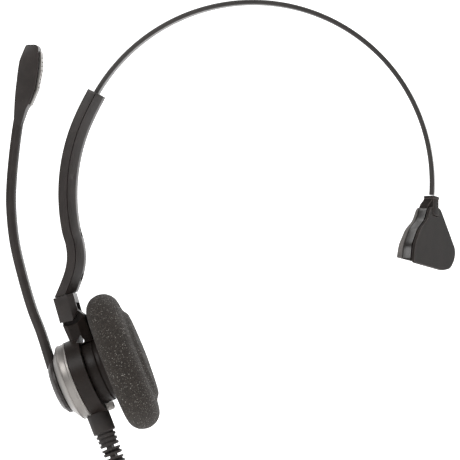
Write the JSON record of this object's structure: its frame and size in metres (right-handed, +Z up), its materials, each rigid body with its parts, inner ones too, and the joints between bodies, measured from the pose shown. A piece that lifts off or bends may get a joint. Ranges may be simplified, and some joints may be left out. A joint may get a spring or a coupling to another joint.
{
  "type": "corded one-ear office headset",
  "caption": "One-ear office headset: sprung headband with temple pad, sliding arm, tilting ear cup with foam cushion, swinging microphone boom, corded quick-release plug.",
  "frame": {"origin": "underside of the headband at its crown, where it rests on the head", "axes": "+X from the ear cup to the temple pad, +Y backwards, +Z up, as worn"},
  "size_m": [0.1805, 0.056, 0.3018],
  "materials": {
    "spring_steel": "black-coated spring steel, satin",
    "satin_black": "satin moulded plastic",
    "gloss_black": "polished moulded plastic",
    "silver_paint": "satin silver",
    "steel": "bright steel",
    "foam": "open-cell foam",
    "soft_rubber": "soft moulded rubber",
    "circuit_board": "solder resist",
    "film": "polyester film",
    "felt": "pressed felt",
    "brass": "plated contacts"
  },
  "bodies": {
    "headband": {"headband_spring": "spring_steel", "slider_shoe": "satin_black", "band_end_spigot": "steel"},
    "slider_arm": {"arm_outer_shell": "satin_black", "arm_inner_cover": "satin_black", "arm_screw_upper": "steel", "arm_screw_lower": "steel", "slider_leaf_spring": "steel", "fork_block": "satin_black", "cup_pivot_pin": "steel"},
    "ear_cup": {"cup_housing": "satin_black", "housing_screw_1": "steel", "housing_screw_2": "steel", "terminal_board": "circuit_board", "cord_clamp": "satin_black", "gland_tab": "gloss_black", "ear_cushion": "foam", "speaker_plate": "satin_black", "speaker_basket": "steel", "speaker_magnet": "steel", "speaker_diaphragm": "film", "speaker_grille": "satin_black", "damping_felt": "felt", "trim_ring": "silver_paint", "strain_relief": "soft_rubber", "cord_lead": "soft_rubber", "cord_hank": "soft_rubber", "cord_tie": "soft_rubber", "cord_tail": "soft_rubber", "plug_boot": "soft_rubber", "plug_shell": "satin_black", "plug_contact_block": "brass"},
    "boom": {"boom_hub_cap": "satin_black", "boom_hub_shaft": "satin_black", "boom_retaining_clip": "steel", "boom_tube": "satin_black", "mic_housing": "satin_black", "mic_grille_strip": "silver_paint", "mic_capsule": "steel", "mic_gasket": "soft_rubber"},
    "temple_pad": {"temple_clip": "satin_black", "temple_cross_pin": "steel", "temple_pad_carrier": "gloss_black", "temple_pad_cover": "satin_black", "temple_pad_cushion": "soft_rubber"}
  },
  "joints": [
    {"name": "band_slide", "type": "hinge", "parent": "headband", "child": "slider_arm", "pos_m": [0, 0, -0.07165], "axis": [0, -1, 0], "range_deg": [-5, 12]},
    {"name": "cup_tilt", "type": "hinge", "parent": "slider_arm", "child": "ear_cup", "pos_m": [-0.0732, 0, -0.1226], "axis": [0, 1, 0], "range_deg": [-10, 10]},
    {"name": "boom_swing", "type": "hinge", "parent": "ear_cup", "child": "boom", "pos_m": [-0.0583, 0, -0.1455], "axis": [0.9304, 0, 0.3665], "range_deg": [-150, 150]},
    {"name": "pad_swivel", "type": "hinge", "parent": "headband", "child": "temple_pad", "pos_m": [0.0722, 0, -0.0773], "axis": [0, 0.0785, 0.9969], "range_deg": [-13, 47]}
  ]
}
